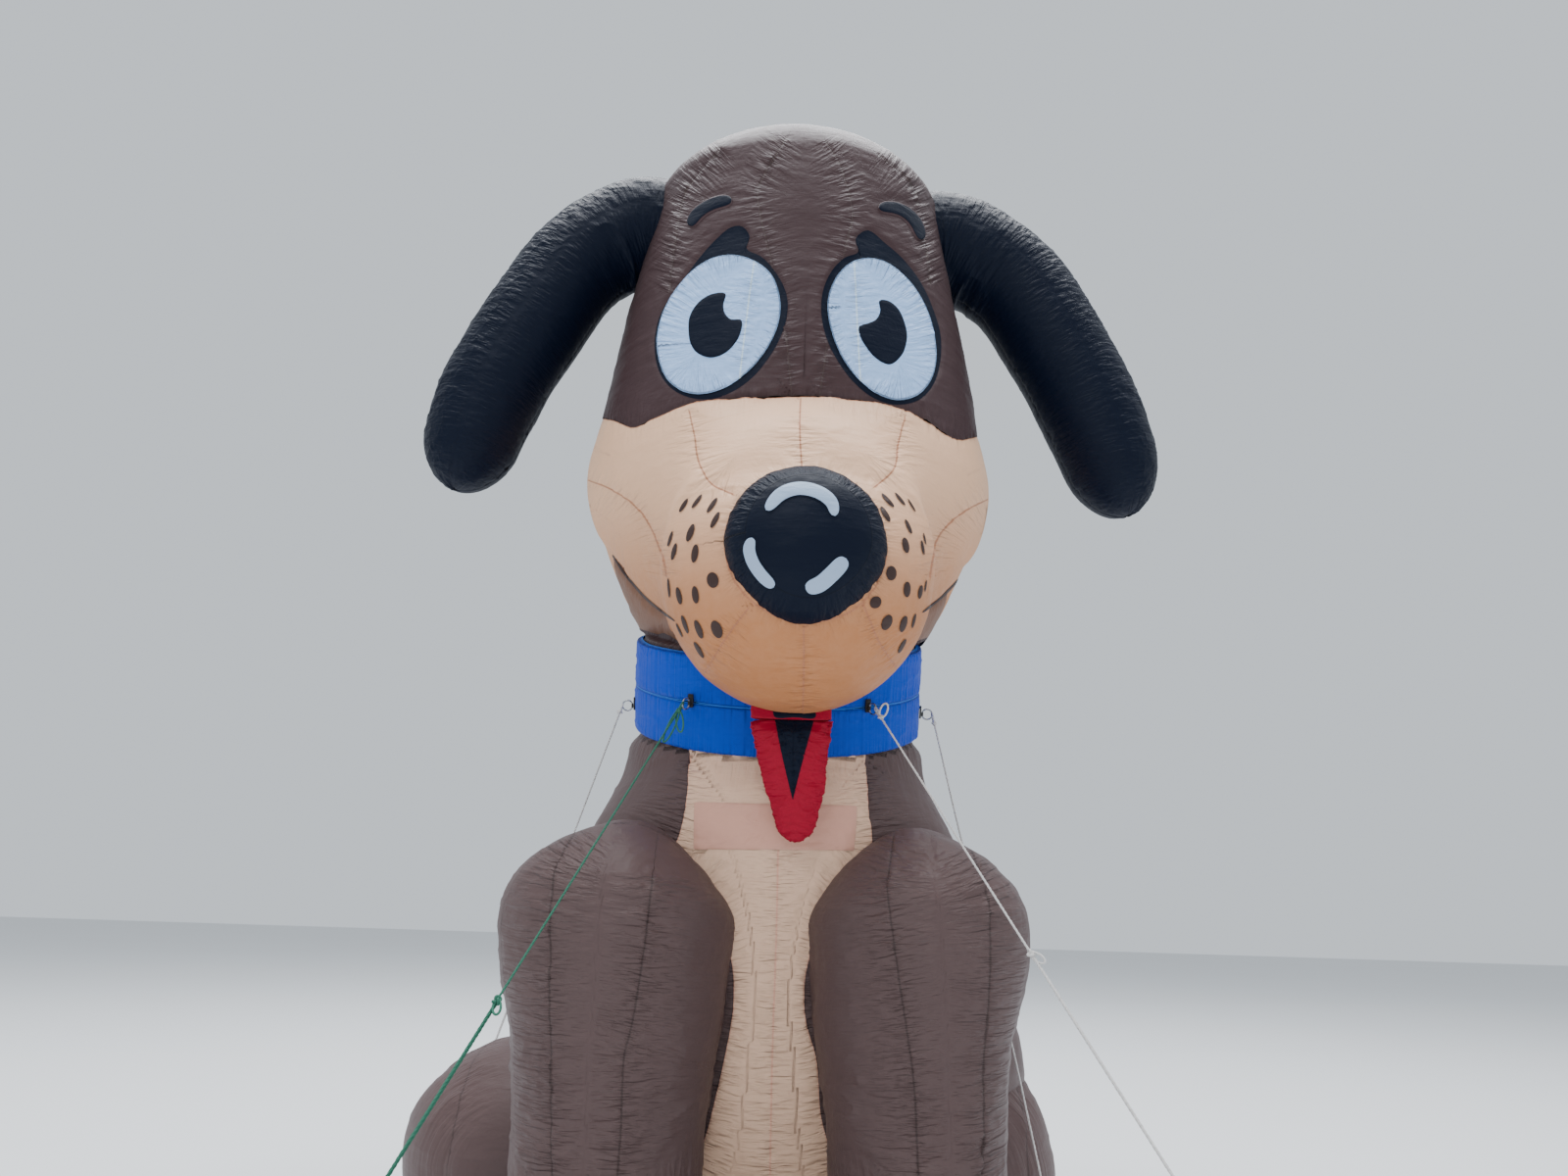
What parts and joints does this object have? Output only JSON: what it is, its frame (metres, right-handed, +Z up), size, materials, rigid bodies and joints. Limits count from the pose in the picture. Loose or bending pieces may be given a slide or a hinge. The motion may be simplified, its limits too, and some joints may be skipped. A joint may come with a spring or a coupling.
{
  "type": "giant inflatable sitting dog",
  "caption": "Fan-blown giant sitting dog of sewn nylon chambers with a padded tongue, guy ropes to ground stakes and an electric blower.",
  "frame": {"origin": "on the ground, on the flat underside of the body, below the neck", "axes": "+Z up; the dog faces -Y; +X is to the right as seen from in front of it"},
  "size_m": [4.146, 4.918, 5.94],
  "materials": {
    "brown_fabric": "coated nylon, soft sheen, fine wrinkles along the seams",
    "tan_fabric": "coated nylon, soft sheen",
    "shaded_tan_fabric": "coated nylon, darker tan",
    "patch_fabric": "coated nylon, pinker tan, bare",
    "blue_fabric": "coated nylon, royal blue",
    "black_fabric": "coated nylon, black with a bluish sheen",
    "white_fabric": "coated nylon, cool white",
    "red_fabric": "coated nylon, crimson, padded and wrinkled",
    "black_webbing": "woven webbing",
    "rope_green": "laid synthetic rope, green",
    "rope_white": "braided synthetic rope, off-white",
    "galvanised_steel": "galvanised steel",
    "orange_plastic": "moulded polyethylene, orange",
    "blower_steel": "zinc-plated steel",
    "black_rubber": "moulded rubber"
  },
  "bodies": {
    "dog": {"head_crown": "brown_fabric", "head_cheeks": "tan_fabric", "head_back": "brown_fabric", "jaw_left": "shaded_tan_fabric", "jaw_right": "shaded_tan_fabric", "snout": "tan_fabric", "nose": "black_fabric", "ear_left": "black_fabric", "ear_right": "black_fabric", "eye_rim_left": "black_fabric", "eye_white_left": "white_fabric", "pupil_left": "black_fabric", "eyebrow_left": "black_fabric", "eye_rim_right": "black_fabric", "eye_white_right": "white_fabric", "pupil_right": "black_fabric", "eyebrow_right": "black_fabric", "neck": "brown_fabric", "collar_lower_band": "blue_fabric", "collar_upper_band": "blue_fabric", "torso": "brown_fabric", "belly_panel": "tan_fabric", "banner_patch": "patch_fabric", "front_leg_left": "brown_fabric", "front_leg_right": "brown_fabric", "front_paw_left": "brown_fabric", "front_paw_right": "brown_fabric", "haunch_left": "brown_fabric", "haunch_right": "brown_fabric", "hind_foot_left": "brown_fabric", "hind_foot_right": "brown_fabric", "tail": "brown_fabric", "tongue_hem": "red_fabric", "tether_tab_front_left": "black_webbing", "tether_ring_front_left": "galvanised_steel", "guy_rope_front_left": "rope_green", "ground_stake_front_left": "galvanised_steel", "tether_tab_front_right": "black_webbing", "tether_ring_front_right": "galvanised_steel", "guy_rope_front_right": "rope_white", "ground_stake_front_right": "galvanised_steel", "tether_tab_rear_left": "black_webbing", "tether_ring_rear_left": "galvanised_steel", "guy_rope_rear_left": "rope_white", "ground_stake_rear_left": "galvanised_steel", "tether_tab_rear_right": "black_webbing", "tether_ring_rear_right": "galvanised_steel", "guy_rope_rear_right": "rope_white", "ground_stake_rear_right": "galvanised_steel", "blower_housing": "orange_plastic", "blower_grille": "blower_steel", "blower_motor": "blower_steel", "blower_foot_left": "black_rubber", "blower_foot_right": "black_rubber", "blower_handle": "black_rubber", "inflation_sleeve": "brown_fabric", "sleeve_strap": "black_webbing"},
    "tongue_flap": {"tongue": "red_fabric", "tongue_wedge": "black_fabric"},
    "fan": {"blower_impeller": "blower_steel"}
  },
  "joints": [
    {"name": "tongue_hinge", "type": "hinge", "parent": "dog", "child": "tongue_flap", "pos_m": [0.055, -0.905, 2.4], "axis": [1, 0, 0], "range_deg": [-45, 8]},
    {"name": "fan_spin", "type": "hinge", "parent": "dog", "child": "fan", "pos_m": [-0.56, 2.03, 0.265], "axis": [1, 0, 0], "continuous": true}
  ]
}
